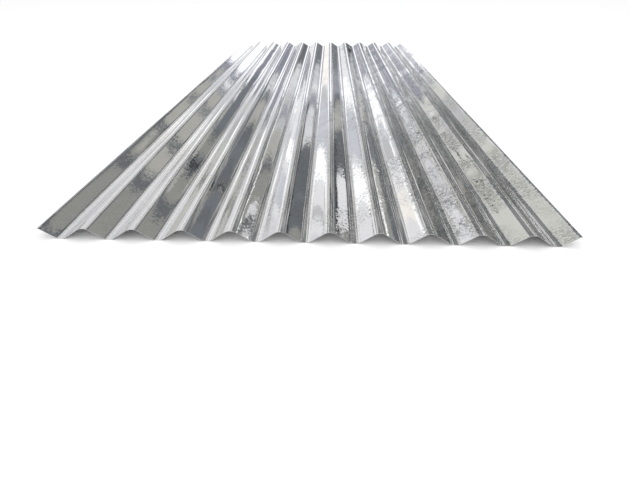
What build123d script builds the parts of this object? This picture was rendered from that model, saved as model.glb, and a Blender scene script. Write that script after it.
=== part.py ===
from build123d import *
import os
from math import acos, atan2, ceil, degrees, hypot

# Corrugated galvanised steel sheet, roll-formed in one piece from a flat strip.
# The section is one smooth line of even thickness. Crests and troughs are arcs of one radius,
# and straight flanks, tangent to both, join them. Both edges of the strip end on the rise to one
# more crest, cut square to the metal, so that the next sheet can lap over them or under them.
# Lengths are in millimetres. X runs across the corrugations, and Y along them. The origin is
# under the middle of the sheet, in the middle trough, on the plane that the troughs rest on.

# Stock size
sheet_length = 2000.0
overall_width = 826.0
sheet_thickness = 0.4

# Corrugations
pitch = 76.0  # from crest to crest
corrugation_depth = 19.0  # over all, from under a trough to the top of a crest
bend_radius = 16.0  # to the middle of the metal, at every crest and trough
longest_bend_share = 0.95  # the roundest bend, as a share of one that leaves no straight flank

half_pitch = pitch / 2
half_thickness = sheet_thickness / 2
mid_line_rise = corrugation_depth - sheet_thickness


def radius_without_flank(run, rise):
    """Radius at which two arcs alone join a trough to a crest that is run away and rise up."""
    return (run**2 + rise**2) / (4 * rise)


def flank_lean(run, rise, radius):
    """Angle in degrees between the flank and the flat.

    The flank is the inner tangent of two circles. Their centres are run apart across, and
    the trough's centre is higher by the part of both radii that the rise leaves over.
    """
    drop = 2 * radius - rise
    return degrees(atan2(run, drop) - acos(2 * radius / hypot(run, drop)))


mid_radius = min(
    bend_radius, longest_bend_share * radius_without_flank(half_pitch, mid_line_rise)
)
lean = flank_lean(half_pitch, mid_line_rise, mid_radius)
inside_radius = mid_radius - half_thickness
outside_radius = mid_radius + half_thickness

# Bends are numbered from the middle trough: even ones are troughs and odd ones are crests.
# The last on each side is past the edge, where the strip is cut to its width.
last_bend = ceil(overall_width / pitch) + 1

with BuildLine(Plane.XZ) as underside:
    bends = []
    for bend in range(-last_bend, last_bend + 1):
        across = bend * half_pitch
        if bend % 2:
            crest_centre = (across, corrugation_depth - outside_radius)
            bends.append(CenterArc(crest_centre, inside_radius, 90 + lean, -2 * lean))
        else:
            trough_centre = (across, outside_radius)
            bends.append(CenterArc(trough_centre, outside_radius, 270 - lean, 2 * lean))
    for bend, next_bend in zip(bends, bends[1:]):
        Line(bend @ 1, next_bend @ 0)
    split(bisect_by=Plane.YZ.offset(overall_width / 2), keep=Keep.BOTTOM)
    split(bisect_by=Plane.YZ.offset(-overall_width / 2), keep=Keep.TOP)

with BuildPart() as corrugated_sheet:
    with BuildSketch(Plane.XZ):
        with BuildLine():
            offset(underside.wires(), amount=sheet_thickness, side=Side.RIGHT, closed=True)
        make_face()
    extrude(amount=sheet_length / 2, both=True)

corrugated_sheet.part.label = "corrugated_sheet"
os.makedirs("parts", exist_ok=True)
export_step(corrugated_sheet.part, "parts/corrugated_sheet.step")
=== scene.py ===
from math import radians

import bpy
import numpy as np
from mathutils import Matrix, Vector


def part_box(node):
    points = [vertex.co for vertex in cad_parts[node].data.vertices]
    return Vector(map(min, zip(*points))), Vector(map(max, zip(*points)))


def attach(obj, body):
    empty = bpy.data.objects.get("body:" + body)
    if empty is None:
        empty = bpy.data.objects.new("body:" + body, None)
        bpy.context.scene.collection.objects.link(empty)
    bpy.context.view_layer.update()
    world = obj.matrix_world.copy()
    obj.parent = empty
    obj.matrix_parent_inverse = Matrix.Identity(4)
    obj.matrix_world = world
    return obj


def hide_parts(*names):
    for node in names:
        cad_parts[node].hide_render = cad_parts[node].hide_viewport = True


bl_info = {
    "name": "Galvanised Corrugated Sheet",
    "version": (1, 0, 0),
    "blender": (4, 5, 0),
    "location": "3D View > Sidebar > Corrugated Sheet",
    "description": "One bright galvanised corrugated steel sheet on a pale studio floor",
    "category": "Object",
}

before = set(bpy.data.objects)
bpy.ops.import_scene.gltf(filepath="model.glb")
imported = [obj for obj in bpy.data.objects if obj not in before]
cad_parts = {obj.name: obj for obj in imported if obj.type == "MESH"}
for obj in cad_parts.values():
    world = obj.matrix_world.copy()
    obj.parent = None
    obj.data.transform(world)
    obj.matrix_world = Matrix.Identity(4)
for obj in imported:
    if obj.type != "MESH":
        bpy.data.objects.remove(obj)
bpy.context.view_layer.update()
sheet_low, sheet_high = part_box("corrugated_sheet")


def linear_colour(hex_colour, alpha=1.0):
    """Turns an sRGB hex colour such as "c8cacb" into the linear RGBA that Blender works in."""
    srgb = np.array([int(hex_colour[start : start + 2], 16) for start in (0, 2, 4)]) / 255
    linear = np.where(srgb <= 0.04045, srgb / 12.92, ((srgb + 0.055) / 1.055) ** 2.4)
    return (*linear.tolist(), alpha)


def length_property(name, description, default):
    return bpy.props.FloatProperty(
        name=name, description=description, default=default, unit="LENGTH", precision=5
    )


def colour_property(name, description, hex_colour):
    return bpy.props.FloatVectorProperty(
        name=name,
        description=description,
        default=linear_colour(hex_colour),
        subtype="COLOR",
        size=4,
        min=0.0,
        max=1.0,
    )


class SheetSettings(bpy.types.PropertyGroup):
    """Sizes of the rolled sheet and of the relief that rolling and handling leave in it."""

    width: length_property(
        "Width", "From edge to edge, across the corrugations", sheet_high[0] - sheet_low[0]
    )
    length: length_property(
        "Length", "From cut end to cut end, along the corrugations", sheet_high[1] - sheet_low[1]
    )
    depth: length_property(
        "Depth", "From under a trough to the top of a crest", sheet_high[2] - sheet_low[2]
    )
    pitch: length_property("Pitch", "From crest to crest", 0.076)
    thickness: length_property("Thickness", "Of the metal", 0.0004)
    bend_radius: length_property(
        "Bend radius", "Of crests and troughs, to the middle of the metal", 0.016
    )
    sway: length_property(
        "Sway", "How far the lines of crests and troughs wander sideways", 0.0003
    )
    buckle: length_property(
        "Buckle", "How far the straight flanks bulge in and out along the sheet", 0.00009
    )
    slack: length_property(
        "Slack", "How much shallower than its full depth a corrugation gets", 0.0002
    )


class ZincSettings(bpy.types.PropertyGroup):
    """Colours and grain of the zinc coating."""

    zinc: colour_property("Zinc", "Bright zinc crystals", "e4e4e5")
    dull_zinc: colour_property("Dull zinc", "Crystals that froze with a rougher face", "b0b2b2")
    # A fine spangle has crystals of about 1 mm, too small to show from where the camera stands,
    # so they are drawn 3 mm wide.
    spangle: length_property("Spangle", "Width of a zinc crystal", 0.003)
    peel: length_property("Peel", "Width of the ripples in the zinc, like orange peel", 0.004)
    patch: length_property(
        "Patch", "Width of a patch in which crystals and ripples stand out", 0.11
    )


class StudioSettings(bpy.types.PropertyGroup):
    """The camera and the studio round the sheet."""

    camera_place: bpy.props.FloatVectorProperty(
        name="Camera place",
        description="Where the camera stands, from under the middle of the sheet",
        default=(0.0322, -1.5842, 0.3606),
        subtype="TRANSLATION",
        size=3,
    )
    camera_turn: bpy.props.FloatProperty(
        name="Camera turn",
        description="To the left of straight along the sheet",
        default=radians(1.84),
        subtype="ANGLE",
    )
    camera_dip: bpy.props.FloatProperty(
        name="Camera dip",
        description="Below the horizon",
        default=radians(31.28),
        subtype="ANGLE",
    )
    focal_length: bpy.props.FloatProperty(
        name="Focal length",
        description="In pixels of the photograph",
        default=449.2,
        subtype="PIXEL",
    )
    floor: colour_property("Floor", "Plain pale floor", "fcfcfc")
    floor_reach: length_property("Floor reach", "From the sheet to the floor's edges", 60.0)
    softbox_place: bpy.props.FloatVectorProperty(
        name="Softbox place",
        description="Where the softbox hangs, from under the middle of the sheet",
        default=(0, -0.6, 2.9),
        subtype="TRANSLATION",
        size=3,
    )
    softbox_width: length_property("Softbox width", "Across the sheet", 4.0)
    softbox_length: length_property("Softbox length", "Along the sheet", 5.0)
    softbox_power: bpy.props.FloatProperty(
        name="Softbox power", description="Of the whole softbox", default=22.0, unit="POWER"
    )


def section_at(across, settings):
    """Height and slope of the middle of the metal, at each place across the sheet.

    The distance to the nearest trough runs from nothing to half a pitch. Near the trough the
    line is a circle that curves up, near the crest one that curves down, and between them it is
    their common inner tangent. On a circle of radius r the slope's sine is the distance to the
    bend's middle over r, and the height differs from the bend's own by r less the root of r
    squared less that distance squared.
    """
    half_pitch = settings.pitch / 2
    radius = settings.bend_radius
    trough_height = settings.thickness / 2
    crest_height = settings.depth - settings.thickness / 2
    from_trough = across - np.round(across / settings.pitch) * settings.pitch
    side = np.sign(from_trough)
    to_trough = np.abs(from_trough)
    to_crest = half_pitch - to_trough
    lean = flank_lean(settings)
    bend_reach = radius * np.sin(lean)

    def arc_rise(distance):
        return radius - np.sqrt(np.maximum(radius**2 - distance**2, 0))

    def arc_slope(distance):
        return np.arcsin(np.clip(distance / radius, -1, 1))

    flank_start = trough_height + arc_rise(bend_reach)
    flank_end = crest_height - arc_rise(bend_reach)
    along_flank = (to_trough - bend_reach) / (half_pitch - 2 * bend_reach)
    in_trough = to_trough < bend_reach
    in_crest = to_crest < bend_reach
    height = np.select(
        [in_trough, in_crest],
        [trough_height + arc_rise(to_trough), crest_height - arc_rise(to_crest)],
        flank_start + (flank_end - flank_start) * along_flank,
    )
    slope = np.select([in_trough, in_crest], [arc_slope(to_trough), arc_slope(to_crest)], lean)
    return height, slope * side


def flank_lean(settings):
    """Angle between the straight flank and the flat.

    The flank is the inner tangent of two circles, whose middles are half a pitch apart across.
    The trough's middle is higher by the drop, which is both radii less the rise. The angle is
    the one whose tangent is half the pitch over the drop, less the one whose cosine is both
    radii over the distance between the middles.
    """
    half_pitch = settings.pitch / 2
    drop = 2 * settings.bend_radius - (settings.depth - settings.thickness)
    return np.arctan2(half_pitch, drop) - np.arccos(
        2 * settings.bend_radius / np.hypot(half_pitch, drop)
    )


STEPS_PER_HALF_BEND = 5
STEPS_PER_FLANK = 3
POINTS_ALONG = 165
NARROWEST_STEP = 0.2  # at the edge, as a share of a step in a bend


def stations_across(settings):
    """Places across the sheet where its section is sampled.

    Each half pitch has even steps of angle on both arcs and even steps of width on the flank.
    The row of them is repeated both ways from the middle trough. It stops at the edges, which
    are cut square to the metal, so the middle of the metal ends a little inside the underside.
    """
    half_pitch = settings.pitch / 2
    lean = flank_lean(settings)
    angles = np.linspace(0, lean, STEPS_PER_HALF_BEND + 1)
    trough_steps = settings.bend_radius * np.sin(angles)
    flank_steps = np.linspace(
        trough_steps[-1], half_pitch - trough_steps[-1], STEPS_PER_FLANK + 1
    )[1:-1]
    crest_steps = half_pitch - trough_steps[::-1]
    rising = np.concatenate([trough_steps, flank_steps, crest_steps[:-1]])
    falling = settings.pitch - np.concatenate([crest_steps[-1:], rising[:0:-1]])
    one_pitch = np.concatenate([rising, falling])

    half_width = settings.width / 2
    last_crest = (np.round(half_width / settings.pitch - 0.5) + 0.5) * settings.pitch
    inside_radius = settings.bend_radius - settings.thickness / 2
    edge = last_crest - settings.bend_radius * (last_crest - half_width) / inside_radius
    pitches = np.arange(np.ceil(half_width / settings.pitch) + 1) * settings.pitch
    right = (pitches[:, None] + one_pitch[None, :]).ravel()
    shortest_step = NARROWEST_STEP * settings.bend_radius * lean / STEPS_PER_HALF_BEND
    right = np.append(right[right < edge - shortest_step], edge)
    return np.concatenate([-right[:0:-1], right])


SWAY_WAVES = np.array([0.23, 0.41, 0.67, 1.1])  # metres
BUCKLE_WAVES = np.array([0.13, 0.21, 0.37])  # metres
SLACK_WAVES = np.array([0.31, 0.52, 0.9])  # metres
WAVES_SEED = 7
WAVE_SHARE = (0.5, 1.0)  # least and most of its full height that a wave has
WANDER_LIMIT = 2.0  # how far either way a line would go if its waves had their full heights
EDGE_POWER = 12  # how closely the inward pull on the outermost metal keeps to the edges
SHARP_ANGLE = radians(40)  # between two faces, past which the edge between them is sharp

# Each dent: share of the half width, share of the half length, reach across and depth in metres
DENTS = [
    (0.71, 0.33, 0.024, 0.0004),
    (0.86, -0.24, 0.024, 0.0005),
    (-0.92, 0.18, 0.014, 0.0004),
    (-0.46, -0.72, 0.014, 0.0003),
]
DENT_STRETCH = 2.2  # reach along the sheet, in reaches across


def wandering_lines(along, waves, generator, rows):
    """One smooth random line for each row: a sum of sines of the given wavelengths.

    Every sine has a random phase and a random share of its full height. The full heights are
    in proportion to the wavelengths, and add up to the limit of the line.
    """
    phases = generator.uniform(0, 2 * np.pi, (rows, 1, len(waves)))
    shares = generator.uniform(*WAVE_SHARE, (rows, 1, len(waves)))
    heights = shares * waves / np.sum(waves)
    sines = np.sin(2 * np.pi * along[None, :, None] / waves + phases)
    return WANDER_LIMIT * np.sum(heights * sines, axis=2)


def dented(across, along, settings):
    """How far handling has pushed the metal down, in soft oval hollows.

    Each hollow is its depth times a bell curve of the distance to its middle, in reaches. Its
    reach along the sheet is longer than the one across it.
    """
    pushed = np.zeros(np.broadcast(across, along).shape)
    for share_across, share_along, reach, depth in DENTS:
        distance_across = (across - share_across * settings.width / 2) / reach
        distance_along = (along - share_along * settings.length / 2) / (DENT_STRETCH * reach)
        pushed += depth * np.exp(-(distance_across**2) - distance_along**2)
    return pushed


def wandering_relief(across, along, settings):
    """How far each point of the middle surface strays: its sway, its buckle and its slack.

    Sway is a wandering line for each bend, less a pull inwards near both edges. Buckle is a
    wandering line for each flank, times the squared sine that is nothing at both bends. Slack is
    a line for each bend that wanders between nothing and its full size. Between two bends the
    lines of sway and slack are blended, by three times the square of the share of the way less
    twice its cube.
    """
    generator = np.random.default_rng(WAVES_SEED)
    half_pitch = settings.pitch / 2
    bend_place = across / half_pitch
    first_bend = int(np.floor(bend_place.min()))
    bends = int(np.ceil(bend_place.max())) - first_bend + 1
    lower_bend = np.clip(np.floor(bend_place).astype(int) - first_bend, 0, bends - 2)
    way = bend_place - first_bend - lower_bend
    blend = (way * way * (3 - 2 * way))[:, None]

    def between_bends(lines):
        return lines[lower_bend] * (1 - blend) + lines[lower_bend + 1] * blend

    sway_lines = wandering_lines(along, SWAY_WAVES, generator, bends)
    near_edge = (np.abs(across) / (settings.width / 2)) ** EDGE_POWER
    pull = (np.sign(across) * near_edge * settings.sway)[:, None]
    sway = settings.sway * between_bends(sway_lines) - pull
    buckle_lines = wandering_lines(along, BUCKLE_WAVES, generator, bends)
    flank_window = np.sin(np.pi * np.mod(bend_place, 1)) ** 2
    buckle = settings.buckle * buckle_lines[lower_bend] * flank_window[:, None]
    slack_lines = wandering_lines(along, SLACK_WAVES, generator, bends)
    slack = settings.slack * between_bends((1 + slack_lines / WANDER_LIMIT) / 2)
    return sway, buckle, slack


def shell_faces(columns, rows):
    """Quads of a closed shell, whose points are a grid for its upper face and one for its lower.

    Each face is the squares of its grid, and four rims join the sides of one grid to those of
    the other. The points of every quad run round it so that it faces outwards.
    """
    upper = np.arange(columns * rows).reshape(columns, rows)
    lower = upper + columns * rows

    def grid_quads(grid):
        return np.stack([grid[:-1, :-1], grid[1:, :-1], grid[1:, 1:], grid[:-1, 1:]], axis=-1)

    def rim_quads(first, second):
        return np.stack([first[:-1], first[1:], second[1:], second[:-1]], axis=-1)

    return np.concatenate(
        [
            grid_quads(upper).reshape(-1, 4),
            grid_quads(lower)[..., ::-1].reshape(-1, 4),
            rim_quads(lower[:, 0], upper[:, 0]),
            rim_quads(upper[:, -1], lower[:, -1]),
            rim_quads(upper[0, :], lower[0, :]),
            rim_quads(lower[-1, :], upper[-1, :]),
        ]
    )


def add_strip_map(mesh, across, along, height):
    """The metal's own map: the flat strip before it was rolled, in metres from its left edge.

    A point's place across the strip is the sum of the straight steps along the section up to
    it, and its place along the strip is the sheet's own. The underside lies two strip widths
    further right, so its grain is its own.
    """
    from_edge = np.concatenate([[0], np.cumsum(np.hypot(np.diff(across), np.diff(height)))])
    places = np.stack(np.broadcast_arrays(from_edge[:, None], along[None, :]), axis=-1)
    upper_places = places.reshape(-1, 2)
    lower_places = upper_places + [2 * from_edge[-1], 0]
    per_vertex = np.concatenate([upper_places, lower_places])
    strip_map = mesh.uv_layers.new(name="flat_strip")
    corner_vertex = np.empty(len(mesh.loops), dtype=np.int32)
    mesh.loops.foreach_get("vertex_index", corner_vertex)
    strip_map.data.foreach_set("uv", per_vertex[corner_vertex].astype(np.float32).ravel())


def make_sheet_mesh(settings):
    """The sheet as a closed shell: its section carried along the length, with its slight relief.

    Every point of the middle surface is (x + sway, y, height), and the upper and lower faces
    stand half the thickness off it, square to the section. Buckle moves a flank square to
    itself. Slack pulls crests down and troughs up, by less the nearer to half the height. Dents
    push the metal down, by less the nearer it is to the floor. What would still leave the box
    of the true section is held at its sides.
    """
    across = stations_across(settings)
    along = np.linspace(-settings.length / 2, settings.length / 2, POINTS_ALONG)
    height, slope = section_at(across, settings)
    normal_x = -np.sin(slope)
    normal_z = np.cos(slope)
    sway, buckle, slack = wandering_relief(across, along, settings)

    half_metal = settings.thickness / 2
    middle_height = settings.depth / 2
    towards_middle = ((middle_height - height) / middle_height)[:, None]
    room_below = height[:, None] - half_metal
    dents = dented(across[:, None], along[None, :], settings)
    x = across[:, None] + sway + buckle * normal_x[:, None]
    y = np.broadcast_to(along, x.shape)
    z = height[:, None] + slack * towards_middle + buckle * normal_z[:, None]
    z = z - dents * np.clip(room_below / middle_height, 0, 1)

    shells = []
    for offset in (half_metal, -half_metal):
        shell_x = x + offset * normal_x[:, None]
        shell_z = z + offset * normal_z[:, None]
        shell_x = np.clip(shell_x, -settings.width / 2, settings.width / 2)
        shell_z = np.clip(shell_z, 0, settings.depth)
        shells.append(np.stack([shell_x, y, shell_z], axis=-1).reshape(-1, 3))

    mesh = bpy.data.meshes.new("corrugated_sheet_rolled")
    mesh.from_pydata(np.concatenate(shells), [], shell_faces(*x.shape))
    mesh.shade_smooth()
    mesh.set_sharp_from_angle(angle=SHARP_ANGLE)
    add_strip_map(mesh, across, along, height)
    mesh.validate()
    return mesh


def add_node(tree, kind, settings=None, links=None):
    """Adds one node, sets its properties and unlinked inputs, and links the others.

    settings maps a property name or an input to its value, and links maps an input to the
    output that feeds it. An input goes by its name, or by its number where the node gives
    the same name to several.
    """
    node = tree.nodes.new(kind)
    for name, value in (settings or {}).items():
        if isinstance(name, str) and hasattr(node, name):
            setattr(node, name, value)
        else:
            node.inputs[name].default_value = value
    for name, output in (links or {}).items():
        tree.links.new(output, node.inputs[name])
    return node


def empty_material(name):
    """A material that has no nodes yet, and its node tree."""
    material = bpy.data.materials.new(name)
    material.use_nodes = True
    material.node_tree.nodes.clear()
    return material, material.node_tree


# Numbers of a Mix node's sockets when it mixes colours: the last one is an output
MIX_SHARE = 0
MIX_FIRST = 6
MIX_SECOND = 7
MIXED = 2

PEEL_HEIGHT = 0.000009  # metres, from the bottom of a ripple to its top
CRYSTAL_TILT = 0.03  # share of a crystal's own direction in the way that it faces
SMOOTHEST_GRAIN = 0.1  # share of the tilt, dullness and ripples that smooth patches keep
LEFT_GRAIN = 0.25  # share of them in rough patches on the left of the strip
GRAIN_GROWS = (0.4, 0.75)  # metres from the strip's left edge, where that share grows to one
PATCH_BORDER = (0.4, 0.56)  # noise values between which a smooth patch turns into a rough one
ROUGHNESS = (0.035, 0.07)  # of the smoothest crystal and the roughest
STRAIGHT_OUT = (0.5, 0.5, 1.0, 1.0)  # the normal map's colour of a face that doesn't tilt


def galvanised_steel(settings):
    """Hot-dip galvanised steel: a strip drawn through molten zinc, then rolled to its waves.

    New zinc is nearly a mirror, so the eye sees the surroundings drawn out along the sheet in
    bands. The coating froze as a fine spangle of flat crystals over ripples like orange peel.
    Each crystal faces its own way by up to a degree or two and has its own dullness, so a
    reflection's border breaks up into specks. Smooth and rough patches alternate, and the rough
    ones stand out more to the right.
    """
    material, tree = empty_material("hot_dip_galvanised_steel")
    place = add_node(tree, "ShaderNodeUVMap", {"uv_map": "flat_strip"}).outputs["UV"]

    crystals = add_node(
        tree,
        "ShaderNodeTexVoronoi",
        {"voronoi_dimensions": "2D", "Scale": 1 / settings.spangle},
        {"Vector": place},
    )
    crystal_tint = add_node(
        tree, "ShaderNodeSeparateColor", {}, {"Color": crystals.outputs["Color"]}
    )
    patches = add_node(
        tree,
        "ShaderNodeTexNoise",
        {"noise_dimensions": "2D", "Scale": 1 / settings.patch, "Detail": 1.0},
        {"Vector": place},
    )
    strip_axes = add_node(tree, "ShaderNodeSeparateXYZ", {}, {"Vector": place})
    side_grain = add_node(
        tree,
        "ShaderNodeMapRange",
        {"From Min": GRAIN_GROWS[0], "From Max": GRAIN_GROWS[1], "To Min": LEFT_GRAIN},
        {"Value": strip_axes.outputs["X"]},
    )
    grain = add_node(
        tree,
        "ShaderNodeMapRange",
        {"From Min": PATCH_BORDER[0], "From Max": PATCH_BORDER[1], "To Min": SMOOTHEST_GRAIN},
        {"Value": patches.outputs["Fac"], "To Max": side_grain.outputs["Result"]},
    )
    dullness = add_node(
        tree,
        "ShaderNodeMath",
        {"operation": "MULTIPLY"},
        {0: crystal_tint.outputs["Red"], 1: grain.outputs["Result"]},
    )
    colour = add_node(
        tree,
        "ShaderNodeMix",
        {"data_type": "RGBA", MIX_FIRST: settings.zinc, MIX_SECOND: settings.dull_zinc},
        {MIX_SHARE: dullness.outputs["Value"]},
    )
    roughness = add_node(
        tree,
        "ShaderNodeMapRange",
        {"To Min": ROUGHNESS[0], "To Max": ROUGHNESS[1]},
        {"Value": crystal_tint.outputs["Green"]},
    )

    tilt = add_node(
        tree, "ShaderNodeMapRange", {"To Max": CRYSTAL_TILT}, {"Value": grain.outputs["Result"]}
    )
    facing = add_node(
        tree,
        "ShaderNodeMix",
        {"data_type": "RGBA", MIX_FIRST: STRAIGHT_OUT},
        {MIX_SHARE: tilt.outputs["Result"], MIX_SECOND: crystals.outputs["Color"]},
    )
    facets = add_node(
        tree, "ShaderNodeNormalMap", {"uv_map": "flat_strip"}, {"Color": facing.outputs[MIXED]}
    )
    peel = add_node(
        tree,
        "ShaderNodeTexNoise",
        {"noise_dimensions": "2D", "Scale": 1 / settings.peel, "Detail": 1.0},
        {"Vector": place},
    )
    relief = add_node(
        tree,
        "ShaderNodeBump",
        {"Distance": PEEL_HEIGHT},
        {
            "Strength": grain.outputs["Result"],
            "Height": peel.outputs["Fac"],
            "Normal": facets.outputs["Normal"],
        },
    )
    surface = add_node(
        tree,
        "ShaderNodeBsdfPrincipled",
        {"Metallic": 1.0},
        {
            "Base Color": colour.outputs[MIXED],
            "Roughness": roughness.outputs["Result"],
            "Normal": relief.outputs["Normal"],
        },
    )
    add_node(tree, "ShaderNodeOutputMaterial", {}, {"Surface": surface.outputs["BSDF"]})
    return material


class OBJECT_OT_rolled_sheet(bpy.types.Operator):
    """Make the corrugated sheet from its section, with its relief and its zinc"""

    bl_idname = "object.rolled_sheet"
    bl_label = "Rolled Sheet"

    def execute(self, context):
        settings = context.scene.sheet_settings
        mesh = make_sheet_mesh(settings)
        mesh.materials.append(galvanised_steel(context.scene.zinc_settings))
        piece = bpy.data.objects.new("corrugated_sheet_rolled", mesh)
        context.scene.collection.objects.link(piece)
        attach(piece, "root")
        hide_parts("corrugated_sheet")
        return {"FINISHED"}


def lit_board(name, colour, strength):
    """A board lit evenly all over: in the metal it shows as a band of one flat tone."""
    material, tree = empty_material(name)
    light = add_node(tree, "ShaderNodeEmission", {"Color": colour, "Strength": strength})
    add_node(tree, "ShaderNodeOutputMaterial", {}, {"Surface": light.outputs["Emission"]})
    return material


def matt_floor_paint(colour):
    """Matt paint: it spreads light evenly, so the floor shows soft shadows and no shine."""
    material, tree = empty_material("matt_floor_paint")
    matt = add_node(tree, "ShaderNodeBsdfDiffuse", {"Color": colour})
    add_node(tree, "ShaderNodeOutputMaterial", {}, {"Surface": matt.outputs["BSDF"]})
    return material


# Each tone of the boards: colour and strength
TONES = {
    "lamp": ("ffffff", 1.45),
    "sky": ("fafafe", 1.3),
    "cream": ("fcf8f0", 1.2),
    "bright": ("fafafc", 1.0),
    "ivory": ("e4e4dd", 1.0),
    "pale": ("ebebee", 1.0),
    "lilac": ("dadce4", 1.0),
    "light": ("d2d2d4", 1.0),
    "middle": ("bebdb7", 1.0),
    "grey": ("a0a09b", 1.0),
    "haze": ("a6a8b3", 1.0),
    "slate": ("9397a2", 1.0),
    "steel": ("7d8288", 1.0),
    "dark": ("73767a", 1.0),
    "black": ("404347", 1.0),
}

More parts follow.
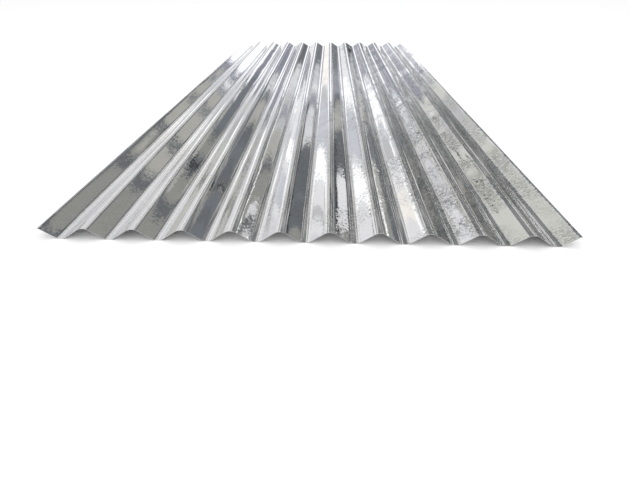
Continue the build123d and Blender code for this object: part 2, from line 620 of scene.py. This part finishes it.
# Each board: tone, where it hangs, angle off the sheet's length from and to, and clock angle
# from and to. The angles off are those at the middle of the clock angles. All are in degrees.
# A later board hangs in front of the ones before it.
BOARDS = [
    # Overhead, and wide boards on both sides
    ("ivory", "roof", 15, 165, -30, -14),
    ("light", "roof", 15, 165, -12, 3.4),
    ("black", "roof", 12, 168, -7, -3),
    ("middle", "roof", 15, 165, 9.4, 33),
    ("bright", "wall", 3, 177, -92, -30),
    ("grey", "wall", 3, 177, 33, 92),
    ("grey", "roof", 27.5, 152.5, 9.4, 33),
    ("sky", "roof", 0.5, 14.5, -14, 23),
    ("slate", "roof", 14.5, 15.9, -10, 23),
    ("bright", "roof", 16.3, 17.9, 13, 24),
    ("slate", "roof", 18.0, 19.0, 12, 33),
    ("steel", "roof", 21.6, 22.6, 12, 32),
    ("middle", "roof", 27.0, 31.6, 12, 24),
    ("dark", "roof", 26.0, 27.2, -6, 32),
    ("dark", "roof", 31.8, 33.6, -8, 32),
    ("dark", "roof", 43.6, 45, -8, 32),
    ("dark", "roof", 16, 164, 6, 10),
    ("black", "roof", 18.5, 161.5, 2, 6),
    ("light", "roof", 30, 36, 3.5, 6.5),
    # To the right, where most boards are dark
    ("slate", "roof", 2, 14, 23.5, 31.8),
    ("steel", "roof", 14, 20, 23.5, 31.8),
    ("steel", "roof", 20, 27.2, 23.5, 31.8),
    ("grey", "roof", 23.7, 26.4, 23.5, 31.8),
    ("dark", "roof", 22.7, 23.7, 23.5, 31.8),
    ("black", "roof", 27.3, 28.8, 23.5, 31.8),
    ("dark", "roof", 33.9, 35.4, 23.5, 31.8),
    ("slate", "wall", 2, 11.8, 32.4, 40),
    ("pale", "wall", 12.0, 13.6, 32.4, 40),
    ("steel", "wall", 13.8, 15.4, 32.4, 40),
    ("middle", "wall", 15.6, 18.4, 32.4, 40),
    ("dark", "wall", 18.8, 27.4, 32.4, 40),
    ("steel", "wall", 21.6, 24.4, 32.4, 40),
    ("black", "wall", 27.6, 28.4, 32.4, 40),
    ("dark", "wall", 29, 151, 32.4, 40),
    ("steel", "wall", 29.4, 31.4, 32.4, 40),
    ("steel", "wall", 33.2, 36, 32.4, 40),
    ("lamp", "wall", 33.4, 146.6, 44, 48),
    ("lamp", "wall", 33.4, 146.6, 57, 61),
    ("dark", "wall", 2, 10.0, 42, 51),
    ("pale", "wall", 10, 13.5, 42, 51),
    ("light", "wall", 13.5, 18.6, 42, 51),
    ("haze", "wall", 15.4, 16.8, 42, 51),
    ("middle", "wall", 18.6, 22, 42, 51),
    ("dark", "wall", 22.2, 23.6, 42, 51),
    ("grey", "wall", 23.8, 28.2, 42, 51),
    ("bright", "wall", 28.8, 30.0, 43.8, 49.2),
    ("dark", "wall", 30.4, 31.8, 42, 51),
    ("pale", "wall", 32.0, 32.9, 44.2, 49),
    ("steel", "wall", 2, 9.8, 53.4, 63),
    ("lilac", "wall", 10, 12.2, 53.4, 63),
    ("bright", "wall", 12.2, 13.0, 53.4, 63),
    ("haze", "wall", 13.1, 15, 53.4, 63),
    ("pale", "wall", 15, 19.3, 53.4, 63),
    ("dark", "wall", 19.7, 36, 53.4, 63),
    ("steel", "wall", 26.4, 27.4, 53.4, 63),
    ("grey", "wall", 31.2, 36, 53.4, 61),
    ("steel", "wall", 2, 10.4, 65.6, 75.2),
    ("haze", "wall", 10.4, 13.3, 65.6, 75.2),
    ("steel", "wall", 13.3, 14.6, 65.6, 75.2),
    ("middle", "wall", 14.8, 17.6, 65.6, 75.2),
    ("dark", "wall", 18.2, 23.4, 65.6, 75.2),
    ("bright", "wall", 23.6, 30.8, 66, 75.2),
    ("black", "wall", 2, 9.2, 77.4, 92),
    ("light", "wall", 9.4, 14, 77.4, 92),
    ("middle", "wall", 14, 17, 77.4, 92),
    ("steel", "wall", 18.8, 22.4, 77.4, 92),
    ("middle", "wall", 23.6, 29.0, 77.4, 92),
    ("black", "wall", 15, 165, 51, 53.4),
    ("black", "wall", 15, 165, 63, 65.6),
    ("lamp", "wall", 15, 165, 75.4, 77.2),
    ("lamp", "wall", 12, 168, 40.2, 41.2),
    # To the left, where most boards are bright
    ("lilac", "roof", 2, 14, -23.5, -14),
    ("haze", "roof", 14, 16.8, -23.5, -14),
    ("light", "roof", 19.2, 23.2, -23.5, -14),
    ("middle", "roof", 28.4, 30.2, -23.5, -14),
    ("haze", "roof", 3, 19.0, -30.5, -23.5),
    ("bright", "roof", 19.2, 20.4, -30.5, -23.5),
    ("light", "roof", 24.4, 26.2, -30.5, -23.5),
    ("middle", "roof", 29.6, 32.2, -30.5, -23.5),
    ("haze", "wall", 2, 13.6, -39.5, -31),
    ("lilac", "wall", 13.6, 15.2, -39.5, -31),
    ("lamp", "wall", 15.2, 17.0, -39.5, -31),
    ("lilac", "wall", 17.0, 18.2, -39.5, -31),
    ("bright", "wall", 18.2, 20.4, -39.5, -31),
    ("pale", "wall", 20.4, 28.2, -39.5, -31),
    ("light", "wall", 28.2, 30.4, -39.5, -31),
    ("haze", "wall", 2, 10.8, -50, -41),
    ("lilac", "wall", 10.8, 12.2, -50, -41),
    ("lamp", "wall", 12.2, 16.4, -50, -41),
    ("lilac", "wall", 16.9, 19.4, -50, -41),
    ("light", "wall", 19.4, 23.4, -50, -41),
    ("cream", "wall", 26, 30.4, -50, -41),
    ("lamp", "wall", 11.2, 14, -61.5, -51.5),
    ("lilac", "wall", 14.4, 21, -61.5, -51.5),
    ("lamp", "wall", 22.8, 27.2, -61.5, -51.5),
    ("cream", "wall", 2, 12.0, -73.8, -63.2),
    ("light", "wall", 12.4, 14.2, -73.8, -63.2),
    ("lilac", "wall", 14.2, 19.8, -73.8, -63.2),
    ("lamp", "wall", 20.4, 23.9, -73.8, -63.2),
    ("light", "wall", 28, 29.6, -73.8, -63.2),
    ("haze", "wall", 9.1, 12.1, -92, -75.4),
    ("slate", "wall", 2, 12.4, -92, -84.5),
    ("lamp", "wall", 19.8, 22.4, -92, -75.4),
    ("lilac", "wall", 24, 28.8, -92, -75.4),
    ("grey", "wall", 14, 166, -31.1, -30.5),
    ("lamp", "wall", 12, 168, -41, -39.5),
    ("steel", "wall", 12, 168, -62.6, -61.9),
    ("steel", "wall", 12, 168, -75, -74.4),
    ("black", "wall", 12, 168, -51.1, -50.5),
    ("pale", "wall", 33, 147, -92, -36),
    # Abreast of the sheet
    ("light", "roof", 46, 134, -32, 32),
    ("grey", "wall", 46, 134, -92, -32),
    ("middle", "wall", 46, 134, 32, 92),
    ("bright", "roof", 86, 94, -32, 32),
    ("steel", "roof", 78, 82, -32, 32),
    ("steel", "roof", 98, 102, -32, 32),
    ("pale", "roof", 64, 72, -32, 32),
    ("pale", "roof", 108, 116, -32, 32),
    ("steel", "roof", 53, 55, -32, 32),
    ("steel", "roof", 125, 127, -32, 32),
    ("lamp", "wall", 60, 76, -74, -60),
    ("lamp", "wall", 102, 114, -74, -60),
    ("lamp", "wall", 66, 86, 58, 72),
    ("dark", "wall", 48, 132, -92, -78),
    ("dark", "wall", 48, 132, 78, 92),
]

# Each cable: tone, width, angle off the sheet's length and clock angle of one end, and both
# angles of the other end. All are in degrees.
CABLES = [
    ("black", 0.4, 17, -24.6, 26.4, -27.2),
    ("black", 0.4, 24, -24.5, 34, -27.7),
    ("dark", 0.5, 19, -32.6, 33, -36),
    ("black", 0.4, 31, -24.4, 42, -28),
    ("dark", 0.8, 27, -21.6, 30.4, -18.2),
]
BALL_RADIUS = 30.0  # metres
BALL_STEP = 0.1  # metres, by which each board stands in front of the one before
BOARD_STEPS = 12  # squares along each side of a board's grid


def direction(off, clock):
    """Unit vectors at an angle off the sheet's length, at a clock angle from straight up."""
    off, clock = np.broadcast_arrays(off, clock)
    return np.stack([np.sin(off) * np.sin(clock), np.cos(off), np.sin(off) * np.cos(clock)], -1)


def board_grid(number, hangs, first_off, last_off, first_clock, last_clock):
    """Points of one board: a patch of a ball round the sheet, on a grid of two angles.

    One angle is off the sheet's length, and the other is a clock angle round it, from straight
    up to the right. A point lies at the radius times (sine off times sine clock, cosine off,
    sine off times cosine clock). A roof board's ends run straight across: the tangent of off
    times the cosine of the clock angle stays the same. A wall board's ends stand upright: the
    sine takes the cosine's place.
    """
    radius = BALL_RADIUS - BALL_STEP * number
    clock = np.radians(np.linspace(first_clock, last_clock, BOARD_STEPS + 1))[None, :]
    leans = np.abs(np.sin(clock)) if hangs == "wall" else np.cos(clock)
    middle = BOARD_STEPS // 2
    off = np.radians(np.linspace(first_off, last_off, BOARD_STEPS + 1))[:, None]
    tangent = np.tan(np.radians(90) - off) * leans / leans[:, middle : middle + 1]
    off = np.radians(90) - np.arctan(tangent)
    return radius * direction(off, clock)


def cable_grid(number, width, first_off, first_clock, last_off, last_clock):
    """Points of one cable: a narrow strip of a ball, whose two angles change evenly along it.

    Across it, the clock angle changes by the width over the sine of off, which keeps its sides
    the same distance apart.
    """
    radius = BALL_RADIUS - BALL_STEP * number
    off = np.radians(np.linspace(first_off, last_off, BOARD_STEPS + 1))[:, None]
    middle = np.radians(np.linspace(first_clock, last_clock, BOARD_STEPS + 1))[:, None]
    side = np.radians(width) * np.linspace(-0.5, 0.5, BOARD_STEPS + 1)[None, :]
    return radius * direction(off, middle + side / np.sin(off))


def make_boards(context):
    """The boards and cables that the metal reflects, before the sheet and mirrored behind it.

    The camera looks through them, and they throw no light on the floor.
    """
    tones = [tone for tone, *_ in BOARDS + CABLES]
    grids = [board_grid(number, *place) for number, (_, *place) in enumerate(BOARDS)]
    grids += [
        cable_grid(len(BOARDS) + number, *place) for number, (_, *place) in enumerate(CABLES)
    ]
    points = np.stack([grid * [1, end, 1] for grid in grids for end in (1, -1)])
    row = BOARD_STEPS + 1
    index = np.arange(row * row).reshape(row, row)
    quads = np.stack([index[:-1, :-1], index[1:, :-1], index[1:, 1:], index[:-1, 1:]], -1)
    quads = quads.reshape(-1, 4)
    starts = np.arange(len(points))[:, None, None] * row * row
    mesh = bpy.data.meshes.new("reflected_boards")
    mesh.from_pydata(points.reshape(-1, 3), [], (quads[None] + starts).reshape(-1, 4))
    for name, (colour, strength) in TONES.items():
        mesh.materials.append(lit_board(name, linear_colour(colour), strength))
    places = np.array([list(TONES).index(tone) for tone in tones], dtype=np.int32)
    mesh.polygons.foreach_set("material_index", np.repeat(places, 2 * len(quads)))
    boards = bpy.data.objects.new("reflected_boards", mesh)
    context.scene.collection.objects.link(boards)
    boards.visible_camera = False
    boards.visible_diffuse = False
    boards.visible_shadow = False


PHOTO_WIDTH = 628  # pixels
SENSOR_WIDTH = 36.0  # millimetres
NEAREST_SEEN = 0.01  # metres from the camera
FARTHEST_SEEN = 200.0  # metres from the camera


class OBJECT_OT_sheet_studio(bpy.types.Operator):
    """Make the floor, the reflected boards, the lights and the camera"""

    bl_idname = "object.sheet_studio"
    bl_label = "Studio"

    def execute(self, context):
        settings = context.scene.studio_settings
        scene = context.scene

        reach = settings.floor_reach
        mesh = bpy.data.meshes.new("floor")
        corners = [(-reach, -reach, 0), (reach, -reach, 0), (reach, reach, 0), (-reach, reach, 0)]
        mesh.from_pydata(corners, [], [(0, 1, 2, 3)])
        floor = bpy.data.objects.new("floor", mesh)
        scene.collection.objects.link(floor)
        mesh.materials.append(matt_floor_paint(settings.floor))

        make_boards(context)

        world = bpy.data.worlds.new("studio_air")
        scene.world = world
        world.use_nodes = True
        tree = world.node_tree
        tree.nodes.clear()
        air = add_node(tree, "ShaderNodeBackground", {"Color": linear_colour("ffffff")})
        add_node(tree, "ShaderNodeOutputWorld", {}, {"Surface": air.outputs["Background"]})

        lamp = bpy.data.lights.new("overhead_softbox", "AREA")
        lamp.shape = "RECTANGLE"
        lamp.size = settings.softbox_width
        lamp.size_y = settings.softbox_length
        lamp.energy = settings.softbox_power
        overhead = bpy.data.objects.new("overhead_softbox", lamp)
        overhead.location = settings.softbox_place
        overhead.visible_glossy = False
        scene.collection.objects.link(overhead)

        camera_data = bpy.data.cameras.new("photo_camera")
        camera_data.sensor_width = SENSOR_WIDTH
        camera_data.lens = SENSOR_WIDTH * settings.focal_length / PHOTO_WIDTH
        camera_data.clip_start = NEAREST_SEEN
        camera_data.clip_end = FARTHEST_SEEN
        camera = bpy.data.objects.new("photo_camera", camera_data)
        camera.location = settings.camera_place
        camera.rotation_euler = (radians(90) - settings.camera_dip, 0, settings.camera_turn)
        scene.collection.objects.link(camera)
        scene.camera = camera
        scene.view_settings.view_transform = "Standard"
        return {"FINISHED"}


class VIEW3D_PT_corrugated_sheet(bpy.types.Panel):
    """Lists the operators that make the sheet and its studio"""

    bl_label = "Corrugated Sheet"
    bl_idname = "VIEW3D_PT_corrugated_sheet"
    bl_space_type = "VIEW_3D"
    bl_region_type = "UI"
    bl_category = "Corrugated Sheet"

    def draw(self, context):
        for operator in OPERATORS:
            self.layout.operator(operator.bl_idname)


OPERATORS = (OBJECT_OT_rolled_sheet, OBJECT_OT_sheet_studio)
SETTINGS = {
    "sheet_settings": SheetSettings,
    "zinc_settings": ZincSettings,
    "studio_settings": StudioSettings,
}


def register():
    for blender_class in (*SETTINGS.values(), *OPERATORS, VIEW3D_PT_corrugated_sheet):
        bpy.utils.register_class(blender_class)
    for name, group in SETTINGS.items():
        setattr(bpy.types.Scene, name, bpy.props.PointerProperty(type=group))


def unregister():
    for name in SETTINGS:
        delattr(bpy.types.Scene, name)
    for blender_class in (VIEW3D_PT_corrugated_sheet, *OPERATORS, *SETTINGS.values()):
        bpy.utils.unregister_class(blender_class)


def main():
    register()
    bpy.ops.object.rolled_sheet()
    bpy.ops.object.sheet_studio()


if __name__ == "__main__":
    main()
